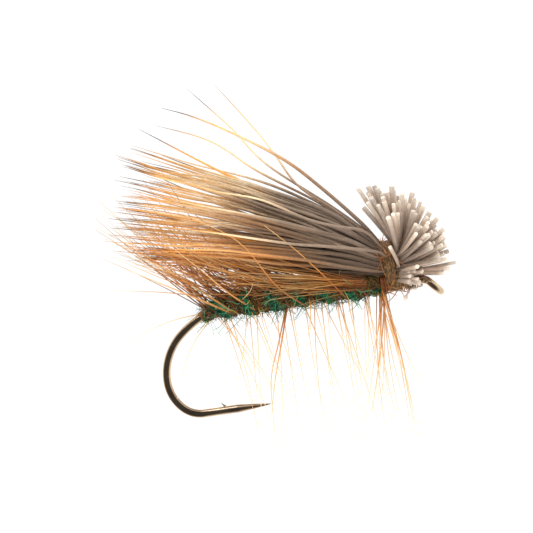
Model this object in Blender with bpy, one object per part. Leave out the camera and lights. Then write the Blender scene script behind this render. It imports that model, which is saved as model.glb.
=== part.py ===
"""A hair-wing dry fly tied on a down-eye hook, as separate hook, thread, dubbing, feather and hair solids.

Frame: the origin is the centre of the hook's eye, +X runs along the shank from the bend to the eye, +Z is the
wing side and +Y is the fly's left flank. Lengths below are in millimetres and are turned into metres by MM.
"""

import math

import bmesh
import bpy
from mathutils import Vector

MM = 0.001

# Hook; the ring's angles start where it meets the shank, and each arc of the bend is a sweep and a radius
WIRE_RADIUS = 0.215
WIRE_SIDES = 12
EYE_WIRE_RADIUS = 0.2
EYE_RADIUS = 0.49
EYE_DROP = math.radians(46.0)
EYE_SWEEP_DEGREES = (42.0, 322.0)
EYE_POINTS = 22
SHANK_Z = 0.36
NECK_POINTS = ((-0.52, -0.2, 0.36), (-0.8, -0.02, 0.36))
SHANK_REAR_X = -9.6
BEND_ARCS = ((42.0, 4.85), (48.0, 2.9), (45.0, 2.05), (46.0, 1.45))
POINT_LENGTH = 3.37
POINT_TAPER_LENGTH = 1.7
POINT_TAPER = ((0.6, 0.55), (1.0, 0.06))
HOOK_BARB_TO_BEND = 1.28
HOOK_BARB_RISE = (-0.36, 0.0, 0.34)
HOOK_BARB_RADII = (0.1, 0.015)
FORGED_HALF_THICKNESS = 0.18
FORGED_FROM_ARC = 1
FORGING_SLAB_SIZE = (5.0, 1.0, 6.5)

# Thread and body
CLEARANCE = 0.02
BORE_OVERRUN = 0.4
BASE_RADIUS = 0.29
BASE_RIDGE = 0.012
BASE_FRONT_X = -0.95
BASE_REAR_RUN = 2.2
BASE_RINGS = 27
BODY_FRONT_X = -2.62
BODY_REAR_RUN = 2.35
BODY_RADIUS = 0.6
BODY_FRONT_WIDTH = 0.72
BODY_FRONT_GROWTH = 6.0
BODY_REAR_WIDTH = 0.62
BODY_REAR_GROWTH = 3.2
BODY_RINGS = 46
BODY_GROOVE = 0.07
BODY_TURNS = 7
THREAD_RADIUS = 0.065
THREAD_SIDES = 6
TIE_TURNS = 4
HEAD_TURNS = 5
HEAD_GAP = 0.12

# Hackle
QUILL_RADIUS = 0.05
QUILL_TIP_WIDTH = 0.7
QUILL_SHARES = (0.02, 0.95)
COLLAR_TURNS = 2
COLLAR_START_X = -2.56
COLLAR_LENGTH = 0.44
COLLAR_RADII = (0.5, 0.42)
BARB_LENGTH = 7.75
BARB_LENGTH_CHANGE = 0.05
BARB_RADIUS = 0.035
BARB_LEVELS = ((0.004, 1.0), (0.55, 0.8), (1.0, 0.34))
BARB_LEAN = 0.1
BARB_LEAN_CHANGE = 0.12
BARB_FREE_BELOW = 0.8
UNDER_WING_LEAN = 1.6
UNDER_WING_DROP = 0.55
QUILL_END = ((-0.95, 0.12, 0.86), (-0.2, 0.08, 0.82), (0.75, 0.05, 0.7))
QUILL_END_RADII = (0.1, 0.08, 0.02)

# Wing; a pair of angles is the value at the middle of the bundle and its change to the bundle's top
HAIR_COUNT = 46
BUNDLE_RADIUS = 0.9
BUNDLE_Z = 1.66
TIE_REAR_X = -2.4
TIE_FRONT_X = -1.75
HAIR_RADIUS_AT_TIE = 0.095
HAIR_RADIUS = 0.11
HAIR_TIP_RADIUS = 0.015
WING_STEEP_DEGREES = (31.0, 19.0)
WING_FLAT_DEGREES = (17.5, 10.0)
WING_SPREAD_DEGREES = 15.0
WING_SETTLING_LENGTH = 2.6
STRAY_HEIGHT = 0.8
STRAY_LIFT_DEGREES = 11.0
WING_LEAVING_SHARE = 0.45
WING_HAIR_LENGTH = 13.4
WING_HAIR_LENGTH_CHANGE = 0.35
WING_HAIR_TAPER_LENGTH = 7.5
WING_STATIONS = (0.0, 0.4, 1.1, 2.4, 4.4, 7.0, 9.8, 12.2, 13.4)
BUTT_LENGTH = (2.5, 0.5)
BUTT_LENGTH_CHANGE = 0.18
BUTT_RADIUS = 0.115
BUTT_LIFT_DEGREES = (62.0, 57.0)
BUTT_SPREAD_DEGREES = 46.0
BUTT_KNEE = (0.3, -0.12)
BUTT_STATIONS = (0.0, 0.12, 0.28, 0.55, 1.0)
TRIMMED_END = ((-1.2, -0.06, -0.12), (-1.36, -0.12, -0.3), (-1.45, -0.15, -0.42), (-1.48, -0.17, -0.52))
TRIMMED_END_RADII = (0.05, 0.05, 0.11, 0.06)

GOLDEN_ANGLE = math.pi * (3.0 - math.sqrt(5.0))


def clear_scene():
    for old in list(bpy.data.objects):
        bpy.data.objects.remove(old)


def new_collection(name):
    group = bpy.data.collections.new(name)
    bpy.context.scene.collection.children.link(group)
    return group


def make_material(name, colour, roughness, metallic=0.0):
    material = bpy.data.materials.new(name)
    material.use_nodes = True
    shader = material.node_tree.nodes["Principled BSDF"]
    shader.inputs["Base Color"].default_value = (*colour, 1.0)
    shader.inputs["Roughness"].default_value = roughness
    shader.inputs["Metallic"].default_value = metallic
    return material


def tube_curve(name, points, radii, sides, group):
    """A round tube along points, with its own radius at each of them and both ends closed."""
    curve = bpy.data.curves.new(name, "CURVE")
    curve.dimensions = "3D"
    curve.bevel_depth = MM
    curve.bevel_resolution = sides // 2 - 2
    curve.use_fill_caps = True
    spline = curve.splines.new("POLY")
    spline.points.add(len(points) - 1)
    for knot, point, radius in zip(spline.points, points, radii):
        knot.co = (*(MM * Vector(point)), 1.0)
        knot.radius = radius
    tube = bpy.data.objects.new(name, curve)
    group.objects.link(tube)
    return tube


def tube_mesh(name, points, radii, sides, group):
    """The same tube as a welded mesh, for pieces that are cut, joined or given barbs."""
    tube = tube_curve(name, points, radii, sides, group)
    bpy.context.view_layer.update()
    evaluated = tube.evaluated_get(bpy.context.evaluated_depsgraph_get())
    mesh = bpy.data.meshes.new_from_object(evaluated)
    place = tube.matrix_world.copy()
    bpy.data.objects.remove(tube)
    shape = bmesh.new()
    shape.from_mesh(mesh)
    bmesh.ops.remove_doubles(shape, verts=shape.verts, dist=1e-4 * MM)
    bmesh.ops.recalc_face_normals(shape, faces=shape.faces)
    shape.to_mesh(mesh)
    shape.free()
    piece = bpy.data.objects.new(name, mesh)
    piece.matrix_world = place
    group.objects.link(piece)
    return piece


def finish_piece(piece, material):
    piece.data.materials.clear()
    piece.data.materials.append(material)
    if piece.type == "MESH":
        piece.data.shade_smooth()
        piece.data.set_sharp_from_angle(angle=math.radians(40.0))


def as_cutter(piece):
    piece.hide_render = True
    piece.display_type = "WIRE"


def boolean(piece, tool, operation):
    modifier = piece.modifiers.new(operation.title(), "BOOLEAN")
    modifier.operation = operation
    modifier.solver = "EXACT"
    modifier.object = tool


# ---- the hook's centre line ----


def eye_points(first_angle, last_angle, count):
    """Points round the eye ring; angle 0 is where the ring meets the shank."""
    down = Vector((math.cos(EYE_DROP), 0.0, -math.sin(EYE_DROP)))
    across = Vector((0.0, 1.0, 0.0))
    points = []
    for i in range(count):
        angle = math.radians(first_angle + (last_angle - first_angle) * i / (count - 1))
        points.append(EYE_RADIUS * (across * math.sin(angle) - down * math.cos(angle)))
    return points


def arc_points(start, heading, sweep, radius, count):
    """An arc in the XZ plane that curves down and back; heading 0 points to -X and 90 degrees to -Z."""
    points = []
    for i in range(1, count + 1):
        angle = heading + sweep * i / count
        along = radius * (math.sin(angle) - math.sin(heading))
        down = radius * (math.cos(heading) - math.cos(angle))
        points.append(Vector((start.x - along, 0.0, start.z - down)))
    return points


def bend_points(count_per_arc=5):
    """The bend as a list of arcs, and the heading at its end."""
    arcs = []
    start = Vector((SHANK_REAR_X, 0.0, SHANK_Z))
    heading = 0.0
    for sweep, radius in BEND_ARCS:
        arc = arc_points(start, heading, math.radians(sweep), radius, count_per_arc)
        arcs.append(arc)
        start = arc[-1]
        heading += math.radians(sweep)
    return arcs, heading


def shank_frame(run):
    """Place and up direction at a distance run behind SHANK_REAR_X (negative in front of it)."""
    radius = BEND_ARCS[0][1]
    heading = max(run, 0.0) / radius
    along = radius * math.sin(heading) + min(run, 0.0)
    down = radius * (1.0 - math.cos(heading))
    place = Vector((SHANK_REAR_X - along, 0.0, SHANK_Z - down))
    up = Vector((-math.sin(heading), 0.0, math.cos(heading)))
    return place, up


def run_of_x(x):
    return SHANK_REAR_X - x


def make_hook(group, cutters):
    arcs, heading = bend_points()
    ring = eye_points(*EYE_SWEEP_DEGREES, EYE_POINTS)
    shank = [Vector(point) for point in NECK_POINTS] + [Vector((SHANK_REAR_X, 0.0, SHANK_Z))]
    bend = [point for arc in arcs for point in arc]
    direction = Vector((-math.cos(heading), 0.0, -math.sin(heading)))
    taper_start = bend[-1] + direction * (POINT_LENGTH - POINT_TAPER_LENGTH)
    taper = [taper_start + direction * (share * POINT_TAPER_LENGTH) for share, _ in POINT_TAPER]
    points = ring + shank + bend + [taper_start] + taper
    radii = [EYE_WIRE_RADIUS] * len(ring) + [WIRE_RADIUS] * (len(shank) + len(bend) + 1)
    radii += [width * WIRE_RADIUS for _, width in POINT_TAPER]
    hook = tube_mesh("hook", points, radii, WIRE_SIDES, group)

    boolean(hook, make_hook_barb(bend[-1], direction, cutters), "UNION")
    for side in (-1.0, 1.0):
        boolean(hook, make_forging_slab(side, arcs, cutters), "DIFFERENCE")
    return hook


def make_hook_barb(start, direction, cutters):
    """The barb: a sliver raised from the top of the wire, its tip towards the bend."""
    root = start + direction * HOOK_BARB_TO_BEND
    tip = root + Vector(HOOK_BARB_RISE)
    barb = tube_mesh("barb_tool", [root, tip], HOOK_BARB_RADII, 8, cutters)
    as_cutter(barb)
    return barb


def make_forging_slab(side, arcs, cutters):
    """A block beside the bend that cuts one forged flat."""
    top = arcs[FORGED_FROM_ARC][0].z
    front = arcs[-1][-1].x
    length, width, height = FORGING_SLAB_SIZE
    bpy.ops.mesh.primitive_cube_add(size=MM)
    slab = bpy.context.object
    slab.name = "forging_slab_left" if side > 0 else "forging_slab_right"
    outward = side * (FORGED_HALF_THICKNESS + 0.5 * width)
    slab.location = MM * Vector((front - 0.5 * length, outward, top - 0.5 * height))
    slab.scale = FORGING_SLAB_SIZE
    for owner in list(slab.users_collection):
        owner.objects.unlink(slab)
    cutters.objects.link(slab)
    as_cutter(slab)
    return slab


# ---- thread, body and hackle ----


def sleeve_points(front_run, rear_run, count):
    runs = [front_run + (rear_run - front_run) * i / (count - 1) for i in range(count)]
    return [shank_frame(run)[0] for run in runs]


def cut_bore(piece, name, radius, front_run, rear_run, cutters):
    """Bores a sleeve for what it is wound on; the tool runs past both ends."""
    points = sleeve_points(front_run - BORE_OVERRUN, rear_run + BORE_OVERRUN, 14)
    tool = tube_mesh(name, points, [radius] * len(points), 8, cutters)
    as_cutter(tool)
    boolean(piece, tool, "DIFFERENCE")


def make_thread_base(group, cutters):
    """The thread layer on the bare shank, with the small rise and fall of its turns."""
    front = run_of_x(BASE_FRONT_X)
    points = sleeve_points(front, BASE_REAR_RUN, BASE_RINGS)
    radii = [BASE_RADIUS if i % 2 else BASE_RADIUS - BASE_RIDGE for i in range(len(points))]
    base = tube_mesh("thread_base", points, radii, 8, group)
    cut_bore(base, "thread_base_bore", WIRE_RADIUS + 1.5 * CLEARANCE, front, BASE_REAR_RUN, cutters)
    return base


def body_radius(share):
    """Radius of the body at a share of its length, 0 at the front and 1 at the rear."""
    front = BODY_FRONT_WIDTH + BODY_FRONT_GROWTH * share
    rear = BODY_REAR_WIDTH + BODY_REAR_GROWTH * (1.0 - share)
    return BODY_RADIUS * min(1.0, front, rear)


def groove_angle(share):
    return 2.0 * math.pi * BODY_TURNS * share


def body_place(share, angle, radius):
    """A point round the shank at a share of the body's length."""
    front = run_of_x(BODY_FRONT_X)
    place, up = shank_frame(front + (BODY_REAR_RUN - front) * share)
    return place + radius * (up * math.cos(angle) + Vector((0.0, 1.0, 0.0)) * math.sin(angle))


def make_dubbed_body(group, cutters):
    """Dubbing wound round the shank: a cylinder drawn along the shank, grooved where the quill lies."""
    mesh = bpy.data.meshes.new("dubbed_body")
    shape = bmesh.new()
    bmesh.ops.create_cone(shape, cap_ends=True, segments=12, radius1=1.0, radius2=1.0, depth=1.0)
    sides = [e for e in shape.edges if abs(e.verts[0].co.z - e.verts[1].co.z) > 0.5]
    bmesh.ops.subdivide_edges(shape, edges=sides, cuts=BODY_RINGS - 2, use_grid_fill=True)
    for vert in shape.verts:
        share = vert.co.z + 0.5
        angle = math.atan2(vert.co.y, vert.co.x)
        groove = BODY_GROOVE * math.cos(angle - groove_angle(share))
        vert.co = MM * body_place(share, angle, body_radius(share) - groove)
    bmesh.ops.recalc_face_normals(shape, faces=shape.faces)
    shape.to_mesh(mesh)
    shape.free()
    body = bpy.data.objects.new("dubbed_body", mesh)
    group.objects.link(body)
    front = run_of_x(BODY_FRONT_X)
    cut_bore(body, "dubbed_body_bore", BASE_RADIUS + 2.5 * CLEARANCE, front, BODY_REAR_RUN, cutters)
    return body


def quill_points(points_per_turn=11):
    """The quill's line: open turns in the body's groove, then close turns in front of the body."""
    lift = BODY_GROOVE - QUILL_RADIUS - 2.5 * CLEARANCE
    first, last = QUILL_SHARES
    open_count = BODY_TURNS * points_per_turn
    points = []
    for i in range(open_count, -1, -1):
        share = first + (last - first) * i / open_count
        points.append(body_place(share, groove_angle(share), body_radius(share) - lift))
    close_count = COLLAR_TURNS * points_per_turn
    for i in range(1, close_count + 1):
        done = i / close_count
        angle = groove_angle(first) - 2.0 * math.pi * COLLAR_TURNS * done
        radius = COLLAR_RADII[0] + (COLLAR_RADII[1] - COLLAR_RADII[0]) * done
        x = COLLAR_START_X + COLLAR_LENGTH * done
        points.append(Vector((x, radius * math.sin(angle), SHANK_Z + radius * math.cos(angle))))
    return points


def barb_direction(outward, lean):
    """Outward from the shank, leaning back, and further back where the wing lies over the body."""
    under_wing = max(0.0, outward.z)
    direction = outward + Vector((-lean - UNDER_WING_LEAN * under_wing, 0.0, -UNDER_WING_DROP * under_wing))
    return direction.normalized()


def add_barb(shape, face, direction, length):
    """Draws one tapered barb out of a face of the quill."""
    start = face.calc_center_median()
    for share, width in BARB_LEVELS:
        face = bmesh.ops.extrude_discrete_faces(shape, faces=[face])["faces"][0]
        corners = [vert.co.copy() for vert in face.verts]
        centre = face.calc_center_median()
        target = start + direction * (share * length * MM)
        for vert, corner in zip(face.verts, corners):
            vert.co = target + (corner - centre).normalized() * (width * BARB_RADIUS * MM)


def make_hackle_feather(group):
    """One feather: its quill wound over the body, with the barbs standing out from the quill."""
    line = quill_points()
    count = len(line)
    radii = [QUILL_RADIUS * (QUILL_TIP_WIDTH + (1.0 - QUILL_TIP_WIDTH) * i / count) for i in range(count)]
    feather = tube_mesh("hackle_feather", line, radii, 6, group)
    shape = bmesh.new()
    shape.from_mesh(feather.data)
    shape.faces.ensure_lookup_table()
    for index in range(2, count - 2):
        middle = 0.5 * (line[index] + line[index + 1])
        axis_place = shank_frame(run_of_x(middle.x))[0]
        outward = (middle - axis_place).normalized()
        if outward.z > BARB_FREE_BELOW:
            continue
        near = [f for f in shape.faces if (f.calc_center_median() / MM - middle).length < 2.4 * QUILL_RADIUS]
        face = max(near, key=lambda f: (f.calc_center_median() / MM - middle).dot(outward))
        lean = BARB_LEAN + BARB_LEAN_CHANGE * math.sin(2.4 * index)
        length = BARB_LENGTH * (1.0 + BARB_LENGTH_CHANGE * (math.sin(1.7 * index) - 1.0))
        add_barb(shape, face, barb_direction(outward, lean), length)
    shape.to_mesh(feather.data)
    shape.free()
    return feather


# ---- wing ----


def hull_of_tie(angle, margin):
    """The loop of thread round shank and bundle: the outline of the two circles it holds together."""
    outward = Vector((0.0, math.sin(angle), math.cos(angle)))
    circles = (
        (Vector((0.0, 0.0, BUNDLE_Z)), BUNDLE_RADIUS + HAIR_RADIUS_AT_TIE),
        (Vector((0.0, 0.0, SHANK_Z)), BASE_RADIUS),
    )
    centre, radius = max(circles, key=lambda c: c[0].dot(outward) + c[1])
    return centre + outward * (radius + margin)


def make_wing_thread_wraps(group):
    """Turns of tying thread round the hair bundle and the shank."""
    per_turn = 16
    pitch = 2.0 * THREAD_RADIUS + CLEARANCE
    points = []
    for i in range(TIE_TURNS * per_turn + 1):
        point = hull_of_tie(2.0 * math.pi * i / per_turn, THREAD_RADIUS + CLEARANCE)
        point.x = 0.5 * (TIE_REAR_X + TIE_FRONT_X) + pitch * (i / per_turn - 0.5 * TIE_TURNS)
        points.append(point)
    return tube_curve("wing_thread_wraps", points, [THREAD_RADIUS] * len(points), THREAD_SIDES, group)


def make_head_thread_wraps(group):
    """The whip finish: close turns round the shank between wing and eye."""
    per_turn = 12
    pitch = 2.0 * THREAD_RADIUS + CLEARANCE
    radius = BASE_RADIUS + THREAD_RADIUS + CLEARANCE
    points = []
    for i in range(HEAD_TURNS * per_turn + 1):
        angle = 2.0 * math.pi * i / per_turn
        x = BASE_FRONT_X - HEAD_GAP - pitch * i / per_turn
        points.append(Vector((x, radius * math.sin(angle), SHANK_Z + radius * math.cos(angle))))
    return tube_curve("head_thread_wraps", points, [THREAD_RADIUS] * len(points), THREAD_SIDES, group)


def bundle_place(index):
    """Where a hair lies in the round bundle under the thread, as shares of the bundle's radius."""
    radius = math.sqrt((index + 0.5) / HAIR_COUNT)
    angle = index * GOLDEN_ANGLE
    return radius * math.sin(angle), radius * math.cos(angle)


def wing_branch(side, height, length):
    """The hair from the tie to its tip: it leaves steeply and flattens as it runs back."""
    steep = math.radians(WING_STEEP_DEGREES[0] + WING_STEEP_DEGREES[1] * height)
    flat = math.radians(WING_FLAT_DEGREES[0] + WING_FLAT_DEGREES[1] * height)
    spread = math.radians(WING_SPREAD_DEGREES * side)
    stray = math.radians(STRAY_LIFT_DEGREES) * max(0.0, height - STRAY_HEIGHT) / (1.0 - STRAY_HEIGHT)
    place = Vector((TIE_REAR_X, BUNDLE_RADIUS * side, BUNDLE_Z + BUNDLE_RADIUS * height))
    points = [place]
    for start, end in zip(WING_STATIONS, WING_STATIONS[1:]):
        middle = 0.5 * (start + end)
        rise = flat + stray + (steep - flat) * math.exp(-middle / WING_SETTLING_LENGTH)
        rise *= min(1.0, WING_LEAVING_SHARE + middle)
        step = (end - start) * length / WING_HAIR_LENGTH
        level = math.cos(rise)
        heading = Vector((-level * math.cos(spread), level * math.sin(spread), math.sin(rise)))
        place = place + step * heading
        points.append(place)
    return points


def butt_branch(side, height, length):
    """The hair's cut butt: it comes out from under the thread and flares up over the head."""
    lift = math.radians(BUTT_LIFT_DEGREES[0] + BUTT_LIFT_DEGREES[1] * height)
    spread = math.radians(BUTT_SPREAD_DEGREES * side)
    start = Vector((TIE_FRONT_X, BUNDLE_RADIUS * side, BUNDLE_Z + BUNDLE_RADIUS * height))
    direction = Vector(
        (math.cos(lift) * math.cos(spread), math.sin(spread), math.sin(lift) * math.cos(spread))
    )
    knee = start + Vector((BUTT_KNEE[0] + BUTT_KNEE[1] * height, 0.0, 0.0))
    end = knee + direction * length
    points = []
    for share in BUTT_STATIONS:
        first = start.lerp(knee, share)
        second = knee.lerp(end, share)
        points.append(first.lerp(second, share))
    return points


def make_wing_hair(index, group):
    """One hair from tip to cut butt, bound at the tie."""
    side, height = bundle_place(index)
    wing_length = WING_HAIR_LENGTH + WING_HAIR_LENGTH_CHANGE * math.sin(5.1 * index)
    butt_length = BUTT_LENGTH[0] + BUTT_LENGTH[1] * height + BUTT_LENGTH_CHANGE * math.sin(3.3 * index)
    wing = wing_branch(side, height, wing_length)
    butt = butt_branch(side, height, butt_length)
    points = wing[::-1] + butt
    wing_shares = [min(1.0, (WING_HAIR_LENGTH - s) / WING_HAIR_TAPER_LENGTH) for s in WING_STATIONS]
    wing_radii = [HAIR_TIP_RADIUS + (HAIR_RADIUS - HAIR_TIP_RADIUS) * s for s in wing_shares]
    wing_radii[0] = HAIR_RADIUS_AT_TIE
    butt_radii = [HAIR_RADIUS_AT_TIE, HAIR_RADIUS_AT_TIE, HAIR_RADIUS, BUTT_RADIUS, BUTT_RADIUS]
    name = f"wing_hair_{index + 1:02d}"
    return tube_curve(name, points, wing_radii[::-1] + butt_radii, 6, group)


def make_quill_end(group):
    """The cut end of the hackle's quill, a pointed spike that lies forward over the eye."""
    return tube_curve("hackle_quill_end", QUILL_END, QUILL_END_RADII, 6, group)


def make_trimmed_end(group):
    """A short fibre that was trimmed off under the head, with a blunt swollen end."""
    return tube_curve("trimmed_fibre_end", TRIMMED_END, TRIMMED_END_RADII, 6, group)


def main():
    clear_scene()
    fly = new_collection("dry_fly")
    cutters = new_collection("cutters")
    bronze = make_material("bronzed_wire", (0.06, 0.05, 0.04), 0.3, 1.0)
    thread = make_material("tying_thread", (0.16, 0.08, 0.03), 0.5)
    dubbing = make_material("green_dubbing", (0.01, 0.1, 0.05), 0.9)
    ginger = make_material("ginger_hackle", (0.55, 0.22, 0.06), 0.5)
    hair = make_material("elk_hair", (0.33, 0.24, 0.16), 0.6)

    finish_piece(make_hook(fly, cutters), bronze)
    finish_piece(make_thread_base(fly, cutters), thread)
    finish_piece(make_dubbed_body(fly, cutters), dubbing)
    finish_piece(make_hackle_feather(fly), ginger)
    finish_piece(make_quill_end(fly), ginger)
    finish_piece(make_trimmed_end(fly), hair)
    finish_piece(make_wing_thread_wraps(fly), thread)
    finish_piece(make_head_thread_wraps(fly), thread)
    for index in range(HAIR_COUNT):
        finish_piece(make_wing_hair(index, fly), hair)


main()
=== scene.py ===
"""Looks of the dry fly: hair, barbs, fur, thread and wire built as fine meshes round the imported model.

Lengths are in millimetres in the part's frame (+X from bend to eye, +Z to the wing, +Y the left flank) and
are turned into metres when a mesh is made.
"""

import math

import bpy
import numpy as np
from mathutils import Matrix, Vector


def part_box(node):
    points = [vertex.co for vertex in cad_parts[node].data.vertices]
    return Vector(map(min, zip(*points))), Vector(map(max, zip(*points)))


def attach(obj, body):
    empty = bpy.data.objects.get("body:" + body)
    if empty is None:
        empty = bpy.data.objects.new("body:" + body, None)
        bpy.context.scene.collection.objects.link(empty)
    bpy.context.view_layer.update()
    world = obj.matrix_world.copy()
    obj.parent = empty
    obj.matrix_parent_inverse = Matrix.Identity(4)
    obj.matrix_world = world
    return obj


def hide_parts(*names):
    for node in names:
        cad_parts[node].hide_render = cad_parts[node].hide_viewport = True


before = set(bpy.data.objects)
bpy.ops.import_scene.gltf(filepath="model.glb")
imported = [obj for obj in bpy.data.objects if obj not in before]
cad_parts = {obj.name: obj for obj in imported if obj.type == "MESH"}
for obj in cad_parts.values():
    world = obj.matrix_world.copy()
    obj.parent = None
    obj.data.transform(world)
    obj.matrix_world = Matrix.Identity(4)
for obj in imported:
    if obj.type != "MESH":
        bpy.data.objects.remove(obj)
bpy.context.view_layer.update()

MM = 0.001
ROOT = "root"
CHANCE = np.random.default_rng(12)
GOLDEN_ANGLE = math.pi * (3.0 - math.sqrt(5.0))


def box_mm(node):
    """A CAD node's lowest and highest corners in millimetres."""
    low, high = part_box(node)
    return np.array(low) / MM, np.array(high) / MM


HEAD_LOW, HEAD_HIGH = box_mm("head_thread_wraps")
TIE_LOW, TIE_HIGH = box_mm("wing_thread_wraps")
BODY_FRONT_X = box_mm("dubbed_body")[1][0]
BASE_FRONT_X = box_mm("thread_base")[1][0]

SHANK_Z = 0.5 * (HEAD_LOW[2] + HEAD_HIGH[2])
SHANK_FRONT_X = -1.5
SHANK_REAR_X = -9.6
WIRE_RADIUS = 0.215
EYE_WIRE_RADIUS = 0.2
EYE_RADIUS = 0.49
EYE_DROP = math.radians(46.0)
EYE_SWEEP_DEGREES = (42.0, 318.0)
NECK_POINTS = ((-0.5, -0.2, 0.36), (-0.85, -0.02, SHANK_Z), (-1.2, 0.0, SHANK_Z))
# Sweep in degrees and radius of each arc, from the shank to the point
BEND_ARCS = ((42.0, 4.85), (48.0, 2.9), (45.0, 2.05), (46.0, 1.45))
FORGING_START_X = -11.6
FORGING_RUN = 0.8
FORGED_HALF_THICKNESS = 0.18
POINT_LENGTH = 3.37
POINT_TAPER_LENGTH = 1.7
POINT_FULLNESS = 0.8
POINT_END_RADIUS = 0.008
HOOK_BARB_PLACE = 1.3
HOOK_BARB_OFFSETS = ((0.0, 0.0, 0.0), (-0.2, 0.0, 0.17), (-0.42, 0.0, 0.39))
HOOK_BARB_RADII = (0.12, 0.01)

BASE_REAR_RUN = 2.25
BASE_RADIUS = 0.265
BASE_RIDGE = 0.014
BASE_PITCH = 0.075

BODY_REAR_RUN = 2.15
BODY_RADIUS = 0.54
BODY_GROOVE = 0.07
BODY_TURNS = 7
BODY_LUMPS = 0.05
BODY_FUZZ = 0.012

FUR_COUNT = 1900
FUR_RADIUS = (0.007, 0.014)
FUR_CURL = 0.75
FUR_SCATTER = 0.6

WHIP_TURNS = 44
WHIP_LAYERS = 4.0
WHIP_OVERHANG = (0.03, 0.38)
WHIP_RADIUS = 0.3
WHIP_THREAD_RADIUS = 0.036

TIE_REAR_X = TIE_LOW[0]
TIE_FRONT_X = TIE_HIGH[0]
TIE_TURNS = 25
TIE_LAYERS = 5.0
TIE_SHANK_RADIUS = 0.3
TIE_THREAD_RADIUS = 0.032
BUNDLE_RADIUS = 0.83
BUNDLE_Z = 1.59

QUILL_SHARE = (0.97, 0.02)
QUILL_RADII = (0.028, 0.055)
COLLAR_TURNS = 4
COLLAR_LENGTH = 0.26
COLLAR_RADIUS = 0.44
QUILL_END = ((-1.1, 0.1, 0.85), (-0.6, 0.05, 0.9), (0.0, 0.0, 0.8), (0.78, -0.05, 0.7))
QUILL_END_RADII = (0.13, 0.012)

BARB_BEND = 0.07
BARB_TAPER = 0.78
BELOW_BARBS = 46
COLLAR_BARBS = 18
SWEPT_BARBS = 190
# Degrees at the front of the body, and degrees added towards its rear
SWEPT_RISE = (6.0, 44.0)
SWEPT_SCATTER = (3.0, 8.0)
FRONT_SWEPT_BARBS = 120
LASHED_BARBS = 70


# ---- mesh making ----

CREASE_ANGLE = math.radians(50.0)
NEARLY_PARALLEL = 0.8
CURVE_STEPS = 12


def unit(vectors):
    """Vectors of length 1 in the same directions."""
    return vectors / np.maximum(np.linalg.norm(vectors, axis=-1, keepdims=True), 1e-12)


def tube_shape(paths, radii, sides, flatten=None):
    """Vertices and faces of closed round tubes: paths is fibres x points x 3, radii is fibres x points."""
    count, length, _ = paths.shape
    tangents = unit(np.gradient(paths, axis=1))
    clear_of_y = np.abs(tangents[:, 0, 1:2]) < NEARLY_PARALLEL
    carried = np.where(clear_of_y, [[0.0, 1.0, 0.0]], [[1.0, 0.0, 0.0]])
    normals = np.empty_like(paths)
    for i in range(length):
        along = tangents[:, i]
        carried = unit(carried - np.sum(carried * along, axis=1, keepdims=True) * along)
        normals[:, i] = carried
    across = np.cross(tangents, normals)
    angles = np.arange(sides) * 2.0 * math.pi / sides
    offsets = (
        np.cos(angles)[None, None, :, None] * normals[:, :, None, :]
        + np.sin(angles)[None, None, :, None] * across[:, :, None, :]
    )
    verts = paths[:, :, None, :] + radii[:, :, None, None] * offsets
    if flatten is not None:
        verts = flatten(verts, paths)
    rings = np.arange(count * length * sides).reshape(count, length, sides)
    a = rings[:, :-1, :]
    b = np.roll(a, -1, axis=2)
    d = rings[:, 1:, :]
    c = np.roll(d, -1, axis=2)
    quads = np.stack([a, b, c, d], axis=-1).reshape(-1, 4).tolist()
    caps = rings[:, 0, ::-1].tolist() + rings[:, -1, :].tolist()
    return verts.reshape(-1, 3), quads + caps


def per_vertex(values, sides):
    """Repeats a value for each point of a tube round its sides."""
    return np.repeat(values.reshape(-1), sides)


def mesh_piece(name, verts, faces, material, attributes=()):
    """An object from vertices in millimetres, with named values for its material at each vertex."""
    mesh = bpy.data.meshes.new(name)
    mesh.from_pydata((verts * MM).tolist(), [], faces)
    for key, values in dict(attributes).items():
        layer = mesh.attributes.new(key, "FLOAT", "POINT")
        layer.data.foreach_set("value", values.astype(np.float32))
    mesh.shade_smooth()
    mesh.set_sharp_from_angle(angle=CREASE_ANGLE)
    mesh.materials.append(material)
    piece = bpy.data.objects.new(name, mesh)
    bpy.context.scene.collection.objects.link(piece)
    return piece


def fibre_piece(name, groups, material):
    """One mesh of many tubes. A group is (paths, radii, sides, values), its values per point or fibre."""
    verts = []
    faces = []
    attributes = {}
    start = 0
    for paths, radii, sides, values in groups:
        shape, shape_faces = tube_shape(paths, radii, sides)
        faces += [[start + i for i in face] for face in shape_faces]
        start += len(shape)
        verts.append(shape)
        for key, value in values.items():
            spread = np.broadcast_to(value if value.ndim == 2 else value[:, None], radii.shape)
            attributes.setdefault(key, []).append(per_vertex(spread, sides))
    attributes = {key: np.concatenate(parts) for key, parts in attributes.items()}
    return mesh_piece(name, np.concatenate(verts), faces, material, attributes)


def settle(piece, slot, *nodes):
    """Every piece rides on the one rigid body and stands for its CAD nodes."""
    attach(piece, ROOT)
    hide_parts(*nodes)


def catmull_rom(points, count):
    """A smooth line through points, with count places evenly spaced along it."""
    knots = np.asarray(points, dtype=float)
    padded = np.vstack([2 * knots[0] - knots[1], knots, 2 * knots[-1] - knots[-2]])
    t = np.linspace(0.0, 1.0, CURVE_STEPS, endpoint=False)[:, None]
    pieces = []
    for i in range(len(knots) - 1):
        p0, p1, p2, p3 = padded[i:i + 4]
        pieces.append(
            0.5 * (2 * p1 + (p2 - p0) * t + (2 * p0 - 5 * p1 + 4 * p2 - p3) * t**2
                   + (3 * p1 - p0 - 3 * p2 + p3) * t**3)
        )
    line = np.vstack(pieces + [knots[-1:]])
    lengths = np.concatenate([[0.0], np.cumsum(np.linalg.norm(np.diff(line, axis=0), axis=1))])
    wanted = np.linspace(0.0, lengths[-1], count)
    return np.stack([np.interp(wanted, lengths, line[:, k]) for k in range(3)], axis=1)


# ---- materials ----


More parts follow.
